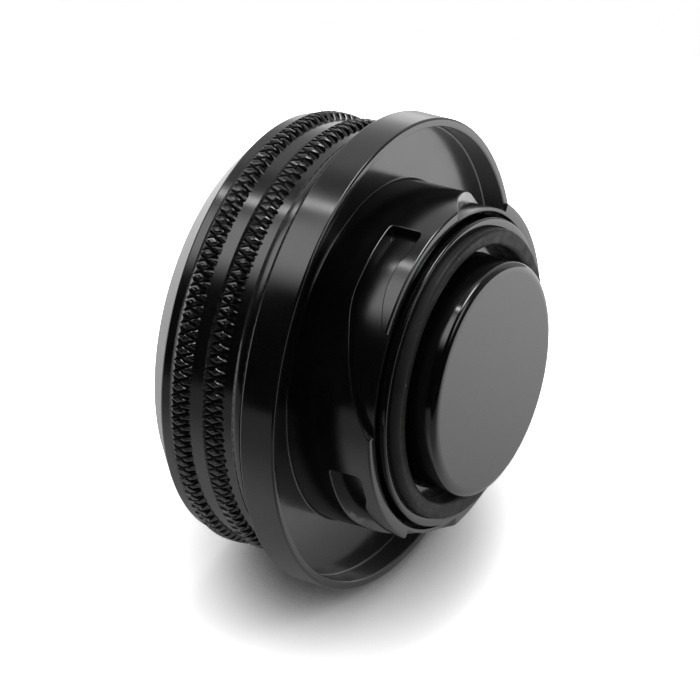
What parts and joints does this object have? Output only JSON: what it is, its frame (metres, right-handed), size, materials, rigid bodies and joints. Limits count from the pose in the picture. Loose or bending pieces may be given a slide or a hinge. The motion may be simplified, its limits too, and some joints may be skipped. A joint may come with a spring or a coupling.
{
  "type": "oil filler cap",
  "caption": "Twist-on oil filler cap with a knurled round grip, a skirt, a slotted bayonet neck and a swivelling sealing plug with a gasket.",
  "frame": {"origin": "centre of the flat face of the crown, on which the cap stands", "axes": "+Z along the cap's axis from the crown towards the plug, -Y towards the side that the picture shows"},
  "size_m": [0.07, 0.07, 0.0406],
  "materials": {
    "anodised_body": "glossy black anodised",
    "anodised_plug": "glossy black anodised",
    "gasket_rubber": "matte black, moulded",
    "washer_plastic": "smooth white low-friction plastic",
    "ring_steel": "bare spring steel"
  },
  "bodies": {
    "cap": {"cap_body": "anodised_body", "thrust_washer": "washer_plastic", "snap_ring": "ring_steel"},
    "plug": {"seal_plug": "anodised_plug", "gasket": "gasket_rubber"}
  },
  "joints": [
    {"name": "plug_swivel", "type": "hinge", "parent": "cap", "child": "plug", "pos_m": [0, 0, 0.0307], "axis": [0, 0, 1], "continuous": true}
  ]
}
